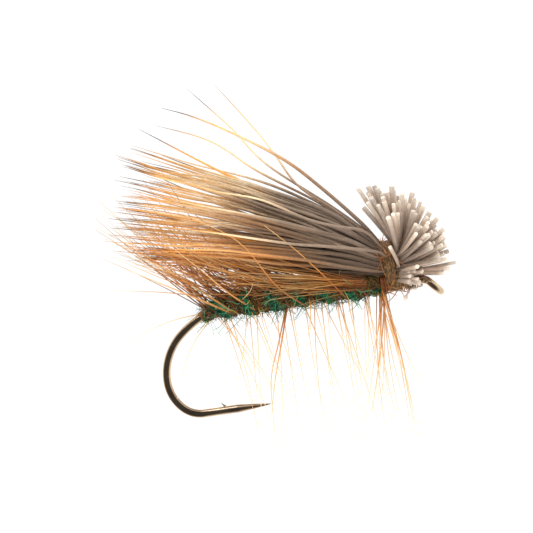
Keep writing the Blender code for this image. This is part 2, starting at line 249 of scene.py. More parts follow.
def linear(colour):
    """An sRGB colour, 0 to 255, as the linear colour that shaders use."""
    share = np.array(colour, dtype=float) / 255.0
    value = np.where(share <= 0.04045, share / 12.92, ((share + 0.055) / 1.055) ** 2.4)
    return (*value.tolist(), 1.0)


def new_material(name, roughness, metallic=0.0, specular=0.5):
    """A material with its node tree and its shader."""
    material = bpy.data.materials.new(name)
    material.use_nodes = True
    shader = material.node_tree.nodes["Principled BSDF"]
    shader.inputs["Roughness"].default_value = roughness
    shader.inputs["Metallic"].default_value = metallic
    shader.inputs["Specular IOR Level"].default_value = specular
    return material, material.node_tree, shader


def ramp(tree, factor, stops):
    """A colour ramp over factor; a stop is (place, sRGB colour)."""
    node = tree.nodes.new("ShaderNodeValToRGB")
    elements = node.color_ramp.elements
    while len(elements) < len(stops):
        elements.new(1.0)
    for element, (place, colour) in zip(elements, stops):
        element.position = place
        element.color = linear(colour)
    tree.links.new(factor, node.inputs["Fac"])
    return node.outputs["Color"]


def attribute(tree, name):
    """The value that mesh_piece stored at each vertex under a name."""
    node = tree.nodes.new("ShaderNodeAttribute")
    node.attribute_name = name
    return node.outputs["Fac"]


def noise(tree, scale, detail=3.0, stretch=(1.0, 1.0, 1.0)):
    """Noise in the piece's own coordinates; scale is in features per metre."""
    place = tree.nodes.new("ShaderNodeTexCoord")
    mapping = tree.nodes.new("ShaderNodeMapping")
    mapping.inputs["Scale"].default_value = stretch
    texture = tree.nodes.new("ShaderNodeTexNoise")
    texture.inputs["Scale"].default_value = scale
    texture.inputs["Detail"].default_value = detail
    tree.links.new(place.outputs["Object"], mapping.inputs["Vector"])
    tree.links.new(mapping.outputs["Vector"], texture.inputs["Vector"])
    return texture.outputs["Fac"]


def remap(tree, value, low, high, to_low, to_high):
    """Maps the range low to high onto to_low to to_high, and stops at both ends."""
    node = tree.nodes.new("ShaderNodeMapRange")
    for key, number in (("From Min", low), ("From Max", high), ("To Min", to_low), ("To Max", to_high)):
        node.inputs[key].default_value = number
    tree.links.new(value, node.inputs["Value"])
    return node.outputs["Result"]


def mix(tree, factor, first, second, blend="MIX"):
    """Mixes two colours; each argument is a constant or a socket."""
    node = tree.nodes.new("ShaderNodeMix")
    node.data_type = "RGBA"
    node.blend_type = blend
    colour_a, colour_b = node.inputs[6], node.inputs[7]
    for value, socket in ((factor, node.inputs["Factor"]), (first, colour_a), (second, colour_b)):
        if isinstance(value, (float, tuple)):
            socket.default_value = value
        else:
            tree.links.new(value, socket)
    return node.outputs[2]


def bump(tree, shader, height, distance, strength):
    """Raises the surface by up to distance, in metres, where height is high."""
    node = tree.nodes.new("ShaderNodeBump")
    node.inputs["Distance"].default_value = distance
    node.inputs["Strength"].default_value = strength
    tree.links.new(height, node.inputs["Height"])
    tree.links.new(node.outputs["Normal"], shader.inputs["Normal"])


def shaded(tree, colour, brightness):
    """A colour made lighter or darker by a number that varies over the surface."""
    grey = tree.nodes.new("ShaderNodeCombineColor")
    for key in ("Red", "Green", "Blue"):
        tree.links.new(brightness, grey.inputs[key])
    return mix(tree, 1.0, colour, grey.outputs["Color"], "MULTIPLY")


def hair_material():
    """Elk hair: pale at the cut, grey-brown along the shaft, cream and ginger, and at times a dark tip.
    The dark stop just short of the tie is painted shade where the hair goes under the thread.
    """
    material, tree, shader = new_material("elk_hair", 0.42, specular=0.5)
    along = attribute(tree, "along")
    # In both ramps the dark stop at 0.17, just short of the tie at 0.2, is painted shade where the butts
    # go under the thread.
    pale = ramp(tree, along, (
        (0.0, (244, 228, 210)), (0.01, (220, 200, 180)), (0.04, (188, 165, 146)), (0.17, (112, 89, 72)),
        (0.3, (142, 119, 101)), (0.54, (150, 127, 106)), (0.62, (204, 174, 140)), (0.7, (250, 224, 182)),
        (0.83, (252, 208, 142)), (0.93, (238, 170, 90)), (1.0, (206, 138, 72)),
    ))
    rusty = ramp(tree, along, (
        (0.0, (240, 224, 206)), (0.02, (182, 158, 138)), (0.17, (108, 84, 66)), (0.36, (118, 91, 66)),
        (0.46, (150, 101, 50)), (0.56, (210, 134, 46)), (0.8, (246, 168, 66)), (0.93, (216, 126, 36)),
        (1.0, (170, 94, 38)),
    ))
    body = mix(tree, attribute(tree, "tint"), pale, rusty)
    tipped = ramp(tree, along, ((0.87, (0, 0, 0)), (0.94, (255, 255, 255))))
    amount = tree.nodes.new("ShaderNodeMath")
    amount.operation = "MULTIPLY"
    tree.links.new(tipped, amount.inputs[0])
    tree.links.new(attribute(tree, "dark"), amount.inputs[1])
    colour = mix(tree, amount.outputs["Value"], body, linear((44, 30, 28)))
    mottle = remap(tree, noise(tree, 5200.0), 0.3, 0.7, 0.86, 1.12)
    varied = shaded(tree, shaded(tree, colour, attribute(tree, "shade")), mottle)
    tree.links.new(varied, shader.inputs["Base Color"])
    bump(tree, shader, noise(tree, 30000.0, 2.0), 0.00001, 0.5)
    shader.inputs["Sheen Weight"].default_value = 0.15
    return material


def hackle_material():
    """Cock hackle: rust at the quill, ginger and then straw towards the tip."""
    material, tree, shader = new_material("ginger_hackle", 0.35, specular=0.5)
    along = attribute(tree, "along")
    warm = ramp(tree, along, (
        (0.0, (84, 42, 8)), (0.08, (142, 70, 12)), (0.3, (198, 108, 28)), (0.6, (242, 160, 62)),
        (1.0, (255, 210, 140)),
    ))
    straw = ramp(tree, along, (
        (0.0, (160, 104, 48)), (0.06, (228, 166, 88)), (0.3, (252, 212, 138)), (1.0, (255, 240, 204)),
    ))
    colour = mix(tree, attribute(tree, "tint"), warm, straw)
    # The shade value brightens or darkens each barb; on the swept barbs it is painted shade under the
    # wing.
    tree.links.new(shaded(tree, colour, attribute(tree, "shade")), shader.inputs["Base Color"])
    bump(tree, shader, noise(tree, 24000.0, 2.0), 0.000008, 0.4)
    return material


def fuzz_material():
    """Loose dubbing fur: deep to bright green, with some olive and yellow-green fibres."""
    material, tree, shader = new_material("green_dubbing_fur", 0.6, specular=0.3)
    colour = ramp(tree, attribute(tree, "tint"), (
        (0.0, (58, 38, 12)), (0.12, (106, 76, 28)), (0.2, (112, 108, 36)), (0.24, (18, 66, 48)),
        (0.5, (34, 110, 84)), (0.74, (70, 158, 110)), (0.9, (132, 200, 140)), (0.97, (204, 210, 100)),
    ))
    tree.links.new(colour, shader.inputs["Base Color"])
    bump(tree, shader, noise(tree, 40000.0, 2.0), 0.000005, 0.3)
    shader.inputs["Sheen Weight"].default_value = 0.3
    return material


def dubbing_material():
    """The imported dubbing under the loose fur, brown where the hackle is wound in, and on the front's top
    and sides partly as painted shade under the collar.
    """
    material, tree, shader = new_material("packed_dubbing", 0.85, specular=0.2)
    fibre = noise(tree, 9000.0, 6.0, (0.5, 1.0, 1.0))
    green = ramp(tree, fibre, (
        (0.3, (10, 30, 20)), (0.5, (20, 70, 46)), (0.62, (36, 110, 72)), (0.75, (92, 150, 84)),
    ))
    brown = ramp(tree, fibre, (
        (0.3, (30, 20, 6)), (0.5, (72, 50, 16)), (0.65, (108, 80, 28)), (0.8, (142, 108, 44)),
    ))
    tree.links.new(mix(tree, attribute(tree, "band"), green, brown), shader.inputs["Base Color"])
    bump(tree, shader, fibre, 0.00012, 0.8)
    return material


def thread_material():
    """Waxed tying thread, with the fine strands of its lay; its palest golden strands are a painted
    highlight.
    """
    material, tree, shader = new_material("tying_thread", 0.42, specular=0.5)
    strands = noise(tree, 16000.0, 4.0, (1.0, 0.35, 0.35))
    # The palest, golden stop is a painted highlight on the strands.
    colour = ramp(tree, strands, (
        (0.25, (38, 26, 10)), (0.42, (84, 58, 24)), (0.56, (132, 92, 42)), (0.75, (192, 142, 76)),
    ))
    tree.links.new(colour, shader.inputs["Base Color"])
    bump(tree, shader, strands, 0.00003, 0.7)
    shader.inputs["Sheen Weight"].default_value = 0.2
    return material


def wire_material():
    """Bronzed steel wire under clear lacquer, with faint drawing marks along its polish."""
    material, tree, shader = new_material("bronzed_wire", 0.2, metallic=1.0)
    blotch = noise(tree, 900.0, 4.0)
    colour = ramp(tree, blotch, ((0.3, (140, 118, 98)), (0.55, (168, 146, 120)), (0.75, (192, 172, 142))))
    tree.links.new(colour, shader.inputs["Base Color"])
    marks = noise(tree, 14000.0, 4.0, (0.15, 1.0, 1.0))
    tree.links.new(remap(tree, marks, 0.3, 0.7, 0.12, 0.26), shader.inputs["Roughness"])
    shader.inputs["Coat Weight"].default_value = 1.0
    shader.inputs["Coat IOR"].default_value = 1.7
    shader.inputs["Coat Roughness"].default_value = 0.06
    bump(tree, shader, marks, 0.000004, 0.5)
    return material


# ---- hook ----


def eye_line(first_angle, last_angle, count):
    """The centre line of the eye's ring, between two angles in degrees from its rear."""
    down = np.array([math.cos(EYE_DROP), 0.0, -math.sin(EYE_DROP)])
    across = np.array([0.0, 1.0, 0.0])
    angles = np.radians(np.linspace(first_angle, last_angle, count))[:, None]
    return EYE_RADIUS * (across * np.sin(angles) - down * np.cos(angles))


def bend_line():
    """The bend's four arcs, and the direction in which they end."""
    arc_points = 16
    points = []
    x, z, heading = SHANK_REAR_X, SHANK_Z, 0.0
    for sweep, radius in BEND_ARCS:
        turned = heading + math.radians(sweep)
        angle = np.linspace(heading, turned, arc_points + 1)[1:]
        xs = x - radius * (np.sin(angle) - math.sin(heading))
        zs = z - radius * (math.cos(heading) - np.cos(angle))
        points.append(np.stack([xs, np.zeros_like(xs), zs], axis=1))
        x, z, heading = xs[-1], zs[-1], turned
    direction = np.array([-math.cos(heading), 0.0, -math.sin(heading)])
    return np.vstack(points), direction


def forge(verts, paths):
    """Presses the wire flat on both sides round the bend."""
    rear = np.clip((FORGING_START_X - paths[:, :, 0]) / FORGING_RUN, 0.0, 1.0)
    limit = WIRE_RADIUS + (FORGED_HALF_THICKNESS - WIRE_RADIUS) * rear
    side = verts[..., 1]
    pressed = np.clip(side, -limit[:, :, None], limit[:, :, None])
    verts[..., 1] = side + (pressed - side) * (rear[:, :, None] > 0.0)
    return verts


def make_hook(material):
    """The wire from its eye round the bend to its point, and the barb cut up from the spear."""
    ring = eye_line(*EYE_SWEEP_DEGREES, 44)
    neck = catmull_rom([ring[-1], *NECK_POINTS], 9)[1:]
    shank = np.linspace([SHANK_FRONT_X, 0.0, SHANK_Z], [SHANK_REAR_X, 0.0, SHANK_Z], 14)
    bend, direction = bend_line()
    taper = np.linspace(0.0, 1.0, 14)[:, None]
    margin = 0.1
    straight = np.linspace(margin, POINT_LENGTH - POINT_TAPER_LENGTH - margin, 6)[:, None]
    spear = bend[-1] + direction * straight
    point = bend[-1] + direction * (POINT_LENGTH - POINT_TAPER_LENGTH * (1.0 - taper))
    path = np.vstack([ring, neck, shank, bend, spear, point])
    radii = np.full(len(path), WIRE_RADIUS)
    radii[: len(ring)] = EYE_WIRE_RADIUS
    radii[-len(point):] = WIRE_RADIUS * (1.0 - taper[:, 0]) ** POINT_FULLNESS + POINT_END_RADIUS
    verts, faces = tube_shape(path[None], radii[None], 24, forge)

    root = bend[-1] + direction * HOOK_BARB_PLACE
    barb_line = catmull_rom(root + np.array(HOOK_BARB_OFFSETS), 10)
    barb_radii = np.linspace(*HOOK_BARB_RADII, 10)
    barb, barb_faces = tube_shape(barb_line[None], barb_radii[None], 12)
    faces = faces + [[len(verts) + i for i in face] for face in barb_faces]
    hook = mesh_piece("hook_wire", np.vstack([verts, barb]), faces, material)
    settle(hook, "wire", "hook")


# ---- shank, thread and body ----


def shank_place(run):
    """Places and up directions at distances behind SHANK_REAR_X, along the shank and into the bend."""
    radius = BEND_ARCS[0][1]
    heading = np.maximum(run, 0.0) / radius
    x = SHANK_REAR_X - radius * np.sin(heading) - np.minimum(run, 0.0)
    z = SHANK_Z - radius * (1.0 - np.cos(heading))
    zero = np.zeros_like(x)
    place = np.stack([x, zero, z], axis=-1)
    up = np.stack([-np.sin(heading), zero, np.cos(heading)], axis=-1)
    return place, up


def around_shank(run, angle, radius):
    """Places at an angle from straight up and a radius from the shank's axis."""
    place, up = shank_place(run)
    side = np.array([0.0, 1.0, 0.0])
    return place + radius[..., None] * (up * np.cos(angle)[..., None] + side * np.sin(angle)[..., None])


def body_run(share):
    """Distance behind SHANK_REAR_X of a place on the body, 0 at the body's front and 1 at its rear."""
    front = SHANK_REAR_X - BODY_FRONT_X
    return front + (BODY_REAR_RUN - front) * share


def body_radius(share):
    """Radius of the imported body, 0 at the front and 1 at the rear, with tied-down ends."""
    front = np.clip(6.0 * share + 0.72, 0.0, 1.0)
    rear = np.clip(3.2 * (1.0 - share) + 0.52, 0.0, 1.0)
    swell = 1.0 + 0.2 * np.exp(-(((share - 0.68) / 0.2) ** 2))
    return BODY_RADIUS * swell * np.minimum(front, rear)


def under_collar(share, angle, reach):
    """Where the body's front is brown on its top and sides, back to a share of it: partly the hackle's
    pressed fibres, partly painted shade under the collar and wing.
    """
    return (share < reach) & (np.cos(angle) > -0.4)


def groove_angle(share):
    """The winding groove's angle from straight up."""
    return 2.0 * math.pi * BODY_TURNS * share


def sleeve(runs, radii, sides):
    """A closed solid round the shank: rings of sides points at runs, with radii as rings x sides."""
    angles = np.arange(sides) * 2.0 * math.pi / sides
    run = np.repeat(runs[:, None], sides, axis=1)
    verts = around_shank(run, np.repeat(angles[None], len(runs), axis=0), radii)
    rings = np.arange(verts.shape[0] * sides).reshape(-1, sides)
    a = rings[:-1]
    b = np.roll(a, -1, axis=1)
    d = rings[1:]
    c = np.roll(d, -1, axis=1)
    quads = np.stack([a, b, c, d], axis=-1).reshape(-1, 4).tolist()
    return verts.reshape(-1, 3), quads + [rings[0, ::-1].tolist(), rings[-1].tolist()]


def make_thread_base(material):
    """The first layer of thread, a ridge for each turn."""
    sides = 16
    runs = np.arange(SHANK_REAR_X - BASE_FRONT_X, BASE_REAR_RUN, BASE_PITCH / 4.0)
    angles = np.arange(sides) * 2.0 * math.pi / sides
    phase = 2.0 * math.pi * runs[:, None] / BASE_PITCH - angles[None]
    radii = BASE_RADIUS + BASE_RIDGE * np.abs(np.sin(0.5 * phase))
    verts, faces = sleeve(runs, radii, sides)
    settle(mesh_piece("thread_base_turns", verts, faces, material), "thread", "thread_base")


def make_dubbing(material):
    """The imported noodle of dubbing, lumpy, with the winding groove that the quill lies in."""
    rings, sides = 240, 40
    cell_rings, cell_sides = 6, 4
    share = np.linspace(0.0, 1.0, rings)
    angles = np.arange(sides) * 2.0 * math.pi / sides
    phase = angles[None] - groove_angle(share)[:, None]
    lumps = CHANCE.normal(0.0, 1.0, (rings // cell_rings, sides // cell_sides))
    lumps = np.repeat(np.repeat(lumps, cell_rings, axis=0), cell_sides, axis=1)
    for axis in (0, 1):
        for _ in range(4):
            lumps = 0.5 * lumps + 0.25 * (np.roll(lumps, 1, axis) + np.roll(lumps, -1, axis))
    fine = CHANCE.normal(0.0, BODY_FUZZ, (rings, sides))
    radii = body_radius(share)[:, None] - BODY_GROOVE * np.cos(phase) + BODY_LUMPS * lumps + fine
    verts, faces = sleeve(body_run(share), radii, sides)
    # Brown over the front's top and sides: partly pressed hackle fibres, partly painted shade under the
    # collar.
    collar_fibres_and_shade = 2.0 * under_collar(share[:, None], angles[None], 0.1)
    band = np.clip(0.75 + 1.5 * np.cos(phase) + 0.5 * lumps + collar_fibres_and_shade, 0.0, 1.0)
    piece = mesh_piece("dubbing_noodle", verts, faces, material, {"band": band.reshape(-1)})
    settle(piece, "dubbing", "dubbed_body")


def curly_fibres(starts, outward, lengths, curl, points, scatter):
    """Short bent fibres that leave starts along outward, more or less, and wander."""
    count = len(starts)
    paths = np.empty((count, points, 3))
    paths[:, 0] = starts
    heading = unit(outward + CHANCE.normal(0.0, scatter, (count, 3)))
    turn = CHANCE.normal(0.0, curl, (count, 3))
    for i in range(1, points):
        turn = turn + CHANCE.normal(0.0, 0.3 * curl, (count, 3))
        heading = unit(heading + turn)
        paths[:, i] = paths[:, i - 1] + heading * (lengths / (points - 1))[:, None]
    return paths


def make_dubbing_fur(material):
    """Loose green fur round the body, and the brown fibres pressed into the groove."""
    count = FUR_COUNT
    share = CHANCE.uniform(0.0, 1.0, count)
    angle = CHANCE.uniform(0.0, 2.0 * math.pi, count)
    phase = np.cos(angle - groove_angle(share))
    in_groove = phase > -0.15 + CHANCE.normal(0.0, 0.35, count)
    radius = body_radius(share) - BODY_GROOVE * phase
    starts = around_shank(body_run(share), angle, radius - 0.03)
    middle, _ = shank_place(body_run(share))
    outward = unit(starts - middle)
    wound = np.cross(outward, np.array([-1.0, 0.0, 0.0])) * CHANCE.choice([-1.0, 1.0], count)[:, None]
    lean = unit(outward * CHANCE.uniform(0.1, 0.7, count)[:, None] + wound)
    lengths = CHANCE.gamma(2.2, 0.2, count) + 0.25
    lengths[in_groove] *= 0.6
    paths = curly_fibres(starts, lean, lengths, FUR_CURL, 9, FUR_SCATTER)
    radii = np.repeat(CHANCE.uniform(*FUR_RADIUS, count)[:, None], paths.shape[1], axis=1)
    radii[:, -1] *= 0.4
    tint = np.clip(CHANCE.normal(0.58, 0.2, count), 0.24, 1.0)
    pressed = in_groove & (CHANCE.uniform(0.0, 1.0, count) < 0.9)
    # Fur under the collar is tinted brown, partly as painted shade under the collar.
    brown = pressed | under_collar(share, angle, 0.09)
    tint[brown] = CHANCE.uniform(0.0, 0.2, int(brown.sum()))
    piece = fibre_piece("dubbing_fur", [(paths, radii, 4, {"tint": tint})], material)
    settle(piece, "dubbing", "dubbed_body")


def thread_piece(name, path, radius, material, node):
    """One wound length of round thread."""
    verts, faces = tube_shape(path[None], np.full((1, len(path)), radius), 8)
    settle(mesh_piece(name, verts, faces, material), "thread", node)


def make_head_wraps(material):
    """The whip finish: layers of fine turns that taper towards the eye."""
    t = np.linspace(0.0, WHIP_TURNS, WHIP_TURNS * 18)
    low, high = HEAD_LOW[0] + WHIP_OVERHANG[0], HEAD_HIGH[0] + WHIP_OVERHANG[1]
    sweep = np.abs((t / WHIP_TURNS * WHIP_LAYERS) % 2.0 - 1.0)
    x = low + (high - low) * sweep
    cone = 0.11 * (1.0 - sweep) ** 0.7
    radius = WHIP_RADIUS + cone + 0.03 * t / WHIP_TURNS + 0.012 * np.sin(7.7 * t)
    angle = 2.0 * math.pi * t
    path = np.stack([x, radius * np.sin(angle), SHANK_Z + radius * np.cos(angle)], axis=1)
    thread_piece("whip_finish", path, WHIP_THREAD_RADIUS, material, "head_thread_wraps")


def tie_outline(angle, margin):
    """The loop round the hair bundle and the shank at each angle from straight up."""
    outward = np.stack([np.zeros_like(angle), np.sin(angle), np.cos(angle)], axis=1)
    bundle = BUNDLE_Z * outward[:, 2] + BUNDLE_RADIUS
    shank = SHANK_Z * outward[:, 2] + TIE_SHANK_RADIUS
    on_bundle = bundle > shank
    height = np.where(on_bundle, BUNDLE_Z, SHANK_Z)
    radius = np.where(on_bundle, BUNDLE_RADIUS, TIE_SHANK_RADIUS) + margin
    loop = outward * radius[:, None]
    loop[:, 2] += height
    return loop


def make_tie_wraps(material):
    """Turns of thread round bundle and shank, laid to and fro so that they cross."""
    t = np.linspace(0.0, TIE_TURNS, TIE_TURNS * 40)
    angle = 2.0 * math.pi * t
    path = tie_outline(angle, 0.03 + 0.0025 * t + 0.02 * np.sin(3.1 * t))
    middle = 0.5 * (TIE_REAR_X + TIE_FRONT_X)
    sweep = np.abs((t / TIE_TURNS * TIE_LAYERS) % 2.0 - 1.0) * 2.0 - 1.0
    slant = (0.12 + 0.12 * np.sin(0.9 * t)) * np.cos(angle + 0.5 * np.sin(1.7 * t))
    path[:, 0] = middle + 0.25 * sweep + 0.03 * np.sin(5.3 * t) - slant
    thread_piece("tie_down_thread", path, TIE_THREAD_RADIUS, material, "wing_thread_wraps")


# ---- hackle ----


def quill_line():
    """The quill: open turns in the body's groove, then close turns in front."""
    share = np.linspace(*QUILL_SHARE, 220)
    radius = body_radius(share) - BODY_GROOVE + 0.03
    wound = around_shank(body_run(share), groove_angle(share), radius)
    t = np.linspace(0.0, 1.0, COLLAR_TURNS * 26)[1:]
    angle = groove_angle(QUILL_SHARE[1]) - 2.0 * math.pi * COLLAR_TURNS * t
    x = BODY_FRONT_X + 0.02 + COLLAR_LENGTH * t
    ring = COLLAR_RADIUS + 0.04 * np.sin(9.0 * t)
    collar = np.stack([x, ring * np.sin(angle), SHANK_Z + ring * np.cos(angle)], axis=1)
    return np.vstack([wound, collar])


def make_quill(material):
    """The hackle's quill, which thickens towards its butt at the front."""
    path = quill_line()
    radii = np.linspace(*QUILL_RADII, len(path))[None]
    values = {"along": np.full((1, len(path)), 0.04), "tint": np.zeros(1), "shade": np.ones(1)}
    piece = fibre_piece("hackle_quill", [(path[None], radii, 8, values)], material)
    settle(piece, "hackle", "hackle_feather")


def body_roots(share, angle):
    """Barb roots on the body at an angle from straight up, and the outward direction at each."""
    run = body_run(share)
    roots = around_shank(run, angle, body_radius(share) * 0.88)
    middle, _ = shank_place(run)
    return roots, unit(roots - middle)


def standing_barbs(count, share_low, share_high, lean, spread):
    """Barbs that stand out below and to the sides of the body."""
    share = CHANCE.uniform(share_low, share_high, count)
    roots, outward = body_roots(share, math.pi + CHANCE.normal(0.0, spread, count))
    sway = CHANCE.normal(0.0, lean, (count, 3)) * np.array([1.0, 0.5, 0.3])
    return roots, unit(outward + sway)


def swept_barbs(count, share, low_angle, high_angle):
    """Barbs that the wing presses back along its flanks, steeper towards the bend."""
    flank = CHANCE.choice([-1.0, 1.0], count)
    roots, _ = body_roots(share, flank * CHANCE.uniform(low_angle, high_angle, count))
    scatter = CHANCE.normal(0.0, SWEPT_SCATTER[0] + SWEPT_SCATTER[1] * np.abs(share))
    rise = np.radians(SWEPT_RISE[0] + SWEPT_RISE[1] * share + scatter)
    out = np.radians(CHANCE.uniform(2.0, 18.0, count)) * flank
    level = np.cos(rise)
    return roots, np.stack([-level * np.cos(out), level * np.sin(out), np.sin(rise)], axis=1)


def barb_group(roots, directions, length, radius, tint, shade):
    """Tapered barbs with a slight bend; length, radius, tint and shade are (low, high)."""
    count = len(roots)
    t = np.linspace(0.0, 1.0, 12)[None]
    lengths = CHANCE.uniform(*length, count)[:, None, None]
    bend = CHANCE.normal(0.0, BARB_BEND, (count, 1, 3))
    paths = roots[:, None] + lengths * (directions[:, None] * t[..., None] + bend * t[..., None] ** 2)
    radii = CHANCE.uniform(*radius, count)[:, None] * (1.0 - BARB_TAPER * t)
    values = {
        "along": np.broadcast_to(t, radii.shape),
        "tint": CHANCE.uniform(*tint, count),
        "shade": CHANCE.uniform(*shade, count),
    }
    return paths, radii, 5, values


def placed_barbs():
    """The single long barbs that stand apart from the rest."""
    count = 16
    lines = np.stack([catmull_rom(points, count) for points, _, _ in LONE_BARBS])
    t = np.linspace(0.0, 1.0, count)[None]
    radii = np.array([radius for _, radius, _ in LONE_BARBS])[:, None] * (1.0 - 0.75 * t)
    values = {
        "along": np.broadcast_to(t, radii.shape),
        "tint": np.array([tint for _, _, tint in LONE_BARBS]),
        "shade": np.ones(len(LONE_BARBS)),
    }
    return lines, radii, 6, values


# Points from root to tip, root radius, tint
LONE_BARBS = (
    (((-4.33, -0.5, -0.18), (-5.5, -1.3, 1.3), (-6.7, -1.95, 2.7), (-8.0, -2.5, 4.0)), 0.045, 0.1),
    (((-6.42, -0.5, -0.26), (-7.8, -1.3, 0.96), (-9.42, -2.3, 3.4), (-12.3, -3.1, 5.3)), 0.045, 0.2),
    (((-10.2, -0.4, -0.1), (-11.7, -1.0, 0.77), (-13.4, -1.6, 1.75), (-15.0, -2.1, 2.65)), 0.065, 0.4),
    (((-10.0, -0.4, -0.15), (-11.6, -0.9, 1.2), (-13.2, -1.5, 2.5), (-14.8, -2.2, 3.5)), 0.055, 0.4),
    (((-9.0, -0.5, -0.1), (-10.2, -1.0, 0.9), (-11.4, -1.5, 2.2), (-12.6, -2.0, 3.4)), 0.055, 0.4),
    (((-11.7, -0.2, 0.05), (-13.1, -0.6, -0.1), (-14.5, -1.1, -0.5), (-15.7, -1.5, -1.1)), 0.026, 0.9),
    (((-11.3, -0.3, -0.33), (-12.2, -0.7, -1.3), (-12.8, -1.1, -2.4), (-13.4, -1.6, -4.0)), 0.026, 0.9),
    (((-7.4, -0.3, -0.2), (-7.9, -0.7, -1.9), (-8.45, -1.2, -3.7), (-8.85, -1.7, -5.4)), 0.055, 0.15),
    (((-7.45, -0.25, -0.2), (-8.05, -0.6, -1.9), (-8.65, -1.0, -3.7), (-8.8, -1.6, -6.3)), 0.045, 0.3),
    (((-2.47, -0.3, -0.1), (-2.34, -0.6, -1.6), (-2.05, -1.0, -3.4), (-1.9, -1.6, -6.6)), 0.05, 0.1),
    (((-2.5, -0.3, -0.1), (-2.7, -0.5, -1.4), (-3.2, -0.8, -3.5), (-3.9, -1.2, -6.0)), 0.05, 0.15),
)


def make_barbs(material):
    """The feather's barbs: below the body, at the collar, along both flanks, and the lone ones."""
    below = standing_barbs(BELOW_BARBS, 0.05, 0.97, 0.14, 0.85)
    collar = standing_barbs(COLLAR_BARBS, -0.02, 0.03, 0.16, 0.6)
    share = QUILL_SHARE[0] * CHANCE.uniform(0.0, 1.0, SWEPT_BARBS) ** 0.8
    swept = swept_barbs(SWEPT_BARBS, share, 0.3, 1.7)
    front_share = CHANCE.uniform(-0.05, 0.1, FRONT_SWEPT_BARBS)
    front_swept = swept_barbs(FRONT_SWEPT_BARBS, front_share, 0.3, 2.1)
    groups = [
        barb_group(*below, (6.6, 7.7), (0.017, 0.03), (0.5, 1.0), (0.98, 1.1)),
        barb_group(*collar, (6.2, 7.6), (0.024, 0.038), (0.0, 0.8), (0.9, 1.05)),
        # The low shade values of the swept barbs, lowest on the front ones, are painted shade under the
        # wing.
        barb_group(*swept, (5.0, 7.4), (0.024, 0.042), (0.0, 0.3), (0.45, 1.0)),
        barb_group(*front_swept, (3.5, 6.5), (0.03, 0.044), (0.0, 0.1), (0.35, 0.75)),
        placed_barbs(),
    ]
    settle(fibre_piece("hackle_barbs", groups, material), "hackle", "hackle_feather")


def make_lashed_barbs(material):
    """Barb ends and hair fibres that the tying thread has caught round the waist."""
    count = LASHED_BARBS
    angle = CHANCE.uniform(0.0, 2.0 * math.pi, count)
    starts = tie_outline(angle, 0.08)
    starts[:, 0] = CHANCE.uniform(TIE_REAR_X - 0.1, TIE_FRONT_X + 0.1, count)
    way = CHANCE.choice([-1.0, 1.0], count)[:, None]
    around = np.stack([np.zeros(count), np.cos(angle), -np.sin(angle)], axis=1) * way
    outward = np.stack([np.zeros(count), np.sin(angle), np.cos(angle)], axis=1)
    stray = CHANCE.normal(0.0, 0.5, (count, 3)) * np.array([1.0, 0.3, 0.3])
    heading = unit(around + 0.25 * outward + stray)
    paths = curly_fibres(starts, heading, CHANCE.uniform(0.4, 1.4, count), 0.2, 8, 0.15)
    t = np.linspace(0.0, 1.0, 8)[None]
    radii = CHANCE.uniform(0.018, 0.034, count)[:, None] * (1.0 - 0.6 * t)
    values = {
        "along": np.repeat(0.05 + 0.35 * t, count, axis=0),
        "tint": CHANCE.uniform(0.0, 0.4, count),
        "shade": CHANCE.uniform(0.5, 1.1, count),
    }
    piece = fibre_piece("lashed_barb_ends", [(paths, radii, 5, values)], material)
    settle(piece, "hackle", "hackle_feather")


def make_quill_end(material):
    """The quill's cut end, ragged, pointing forward over the eye."""
    count = 16
    line = catmull_rom(QUILL_END, count)
    radii = np.linspace(*QUILL_END_RADII, count)[None]
    values = {"along": np.linspace(0.0, 0.5, count)[None], "tint": np.array([0.1]), "shade": np.ones(1)}
    piece = fibre_piece("hackle_quill_stub", [(line[None], radii, 8, values)], material)
    settle(piece, "hackle", "hackle_quill_end")


# ---- wing ----

WING_HAIRS = 150
WING_LENGTH = 13.4
# Degrees in the middle of the bundle, and degrees added towards its top
WING_START_RISE = (31.0, 19.0)
WING_END_RISE = (17.0, 9.5)
WING_SPREAD = 15.0
WING_CURVE_LENGTH = 2.6
WING_POINTS = 24
BUTT_LENGTH = 2.55
BUTT_POINTS = 9
TIE_SHARE = 0.2
LOCKS = 12
TIP_CLUMPS = 24
TIP_GATHER = 0.66
STRAY_POINTS = 30
SHORT_STUBS = 48
STUB_POINTS = 8


def bundle_places(count):
    """Places spread evenly over a unit circle, as shares to the side and upwards."""
    index = np.arange(count)
    radius = np.sqrt((index + 0.5) / count)
    angle = index * GOLDEN_ANGLE
    return radius * np.sin(angle), radius * np.cos(angle)


